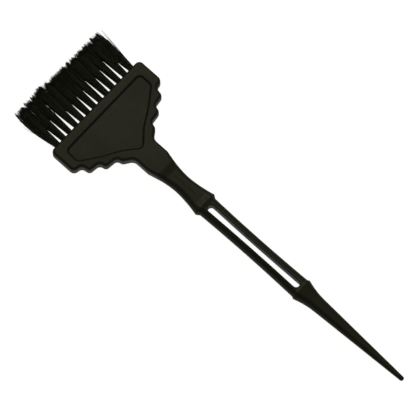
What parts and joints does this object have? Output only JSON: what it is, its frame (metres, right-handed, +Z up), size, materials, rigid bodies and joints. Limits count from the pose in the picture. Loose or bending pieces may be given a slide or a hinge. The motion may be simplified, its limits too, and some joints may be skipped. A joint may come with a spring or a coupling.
{
  "type": "hair colour tint brush",
  "caption": "Wide hair-colour brush: flat head with stepped finger grips, a row of bristle tufts, slotted handle and pin tail.",
  "frame": {"origin": "middle of the object's length and width, on the surface that it lies on", "axes": "+Y along the handle towards the bristle tips, +Z up out of the face, +X across the head"},
  "size_m": [0.0652, 0.2344, 0.0074],
  "materials": {
    "handle": "satin black injection-moulded polypropylene, finely textured",
    "bristles": "black nylon filaments",
    "anchor_wire": "flat drawn wire"
  },
  "bodies": {
    "handle": {"handle": "handle", "anchor_01": "anchor_wire", "anchor_02": "anchor_wire", "anchor_03": "anchor_wire", "anchor_04": "anchor_wire", "anchor_05": "anchor_wire", "anchor_06": "anchor_wire", "anchor_07": "anchor_wire", "anchor_08": "anchor_wire", "anchor_09": "anchor_wire", "anchor_10": "anchor_wire", "anchor_11": "anchor_wire", "anchor_12": "anchor_wire", "anchor_13": "anchor_wire"},
    "bristles": {"tuft_01": "bristles", "tuft_02": "bristles", "tuft_03": "bristles", "tuft_04": "bristles", "tuft_05": "bristles", "tuft_06": "bristles", "tuft_07": "bristles", "tuft_08": "bristles", "tuft_09": "bristles", "tuft_10": "bristles", "tuft_11": "bristles", "tuft_12": "bristles", "tuft_13": "bristles"}
  },
  "joints": [
    {"name": "bristle_flex", "type": "hinge", "parent": "handle", "child": "bristles", "pos_m": [0, 0.0912, 0.0037], "axis": [1, 0, 0], "range_deg": [-35, 35], "stiffness_Nm_per_rad": 0.06, "deforming": ["tuft_01", "tuft_02", "tuft_03", "tuft_04", "tuft_05", "tuft_06", "tuft_07", "tuft_08", "tuft_09", "tuft_10", "tuft_11", "tuft_12", "tuft_13"]}
  ]
}
